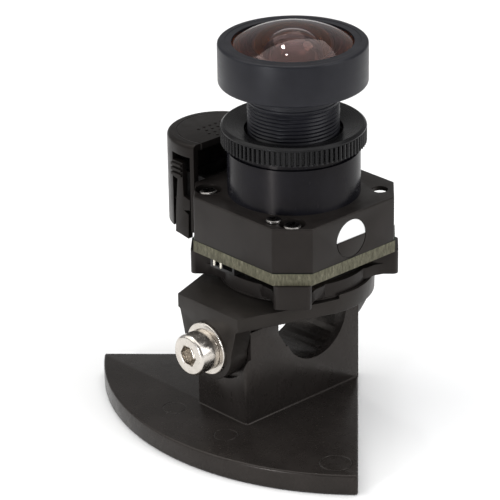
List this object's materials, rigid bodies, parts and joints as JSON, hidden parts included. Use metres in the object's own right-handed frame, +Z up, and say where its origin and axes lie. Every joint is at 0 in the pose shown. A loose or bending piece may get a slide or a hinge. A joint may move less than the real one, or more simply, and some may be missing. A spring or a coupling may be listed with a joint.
{
  "type": "board camera on tilt bracket",
  "caption": "Open board camera: screw-in wide lens in a square holder on a circuit board, carried on a swivel disc, a screw-clamped tilt bracket and a quarter-disc foot.",
  "frame": {"origin": "where the lens axis meets the underside of the foot", "axes": "+Z up along the lens axis, +Y along the tilt axis towards the foot's square corner, +X away from the side cover"},
  "size_m": [0.0486, 0.0344, 0.0529],
  "materials": {
    "foot_plastic": "moulded black plastic, slightly glossy",
    "holder_plastic": "moulded black plastic, fine texture",
    "cover_plastic": "moulded black plastic, satin",
    "black_anodised": "black anodised aluminium, satin",
    "screw_steel": "bright nickel-plated steel",
    "black_steel": "dark glossy black-oxide steel",
    "board_laminate": "dark olive glass-fibre laminate",
    "chip_plastic": "moulded epoxy",
    "ceramic": "ceramic capacitor body with tinned ends",
    "connector_plastic": "black moulded nylon",
    "contact_metal": "tinned brass",
    "port_white": "translucent white plastic",
    "silicon": "polished silicon",
    "lens_glass": "coated optical glass",
    "clear_glass": "clear glass",
    "seal_rubber": "black rubber"
  },
  "bodies": {
    "base": {"foot_post": "foot_plastic", "tilt_washer": "screw_steel", "tilt_nut": "screw_steel", "pivot_pin": "screw_steel"},
    "clamp_screw": {"tilt_screw": "screw_steel"},
    "tilt_head": {"tilt_bracket": "holder_plastic"},
    "swivel": {"swivel_carrier": "holder_plastic", "swivel_washer": "black_steel", "swivel_screw": "black_steel", "circuit_board": "board_laminate", "image_sensor": "chip_plastic", "sensor_die": "silicon", "sensor_cover_glass": "clear_glass", "sensor_gasket": "seal_rubber", "board_chips": "chip_plastic", "board_capacitors": "ceramic", "flex_connector": "connector_plastic", "cable_socket": "connector_plastic", "socket_pins": "contact_metal", "solder_tails": "contact_metal", "lens_holder": "holder_plastic", "port_insert": "port_white", "ir_filter": "clear_glass", "holder_screws": "black_steel", "grub_screw": "black_steel", "side_cover": "cover_plastic"},
    "optics": {"front_element": "lens_glass", "second_element": "lens_glass", "front_spacer": "black_anodised", "third_element": "lens_glass", "stop_spacer": "black_anodised", "aperture_stop": "black_anodised", "middle_spacer": "black_anodised", "doublet_crown": "lens_glass", "doublet_flint": "lens_glass", "rear_spacer": "black_anodised", "rear_element": "lens_glass"},
    "barrel": {"lens_barrel": "black_anodised", "front_seal": "seal_rubber", "front_retainer": "black_anodised", "rear_retainer": "black_anodised"},
    "lock_ring": {"lock_ring": "black_anodised"},
    "front_latch": {"latch_front": "cover_plastic"},
    "rear_latch": {"latch_rear": "cover_plastic"}
  },
  "joints": [
    {"name": "clamp_screw_turn", "type": "hinge", "parent": "base", "child": "clamp_screw", "pos_m": [0, -0.0155, 0.0131], "axis": [0, 1, 0], "range_deg": [-180, 0]},
    {"name": "tilt", "type": "hinge", "parent": "base", "child": "tilt_head", "pos_m": [0, 0, 0.0131], "axis": [0, 1, 0], "range_deg": [-15, 15]},
    {"name": "swivel_turn", "type": "hinge", "parent": "tilt_head", "child": "swivel", "pos_m": [0, 0, 0.019], "axis": [0, 0, 1], "range_deg": [-175, 175]},
    {"name": "focus_slide", "type": "slide", "parent": "swivel", "child": "optics", "axis": [0, 0, 1], "range_m": [-0.001, 0.001]},
    {"name": "focus_turn", "type": "hinge", "parent": "optics", "child": "barrel", "pos_m": [0, 0, 0.045], "axis": [0, 0, 1], "range_deg": [-720, 720]},
    {"name": "lock_ring_turn", "type": "hinge", "parent": "swivel", "child": "lock_ring", "pos_m": [0, 0, 0.0386], "axis": [0, 0, 1], "range_deg": [0, 90]},
    {"name": "front_latch_rock", "type": "hinge", "parent": "swivel", "child": "front_latch", "pos_m": [-0.01375, -0.00712, 0.027], "axis": [-1, 0, 0], "range_deg": [0, 8], "stiffness_Nm_per_rad": 0.005},
    {"name": "rear_latch_rock", "type": "hinge", "parent": "swivel", "child": "rear_latch", "pos_m": [-0.01375, 0.005, 0.027], "axis": [1, 0, 0], "range_deg": [0, 8], "stiffness_Nm_per_rad": 0.005}
  ],
  "couplings": [
    {"joint": "focus_turn", "follows": "focus_slide", "rad_per_m": 12566}
  ]
}
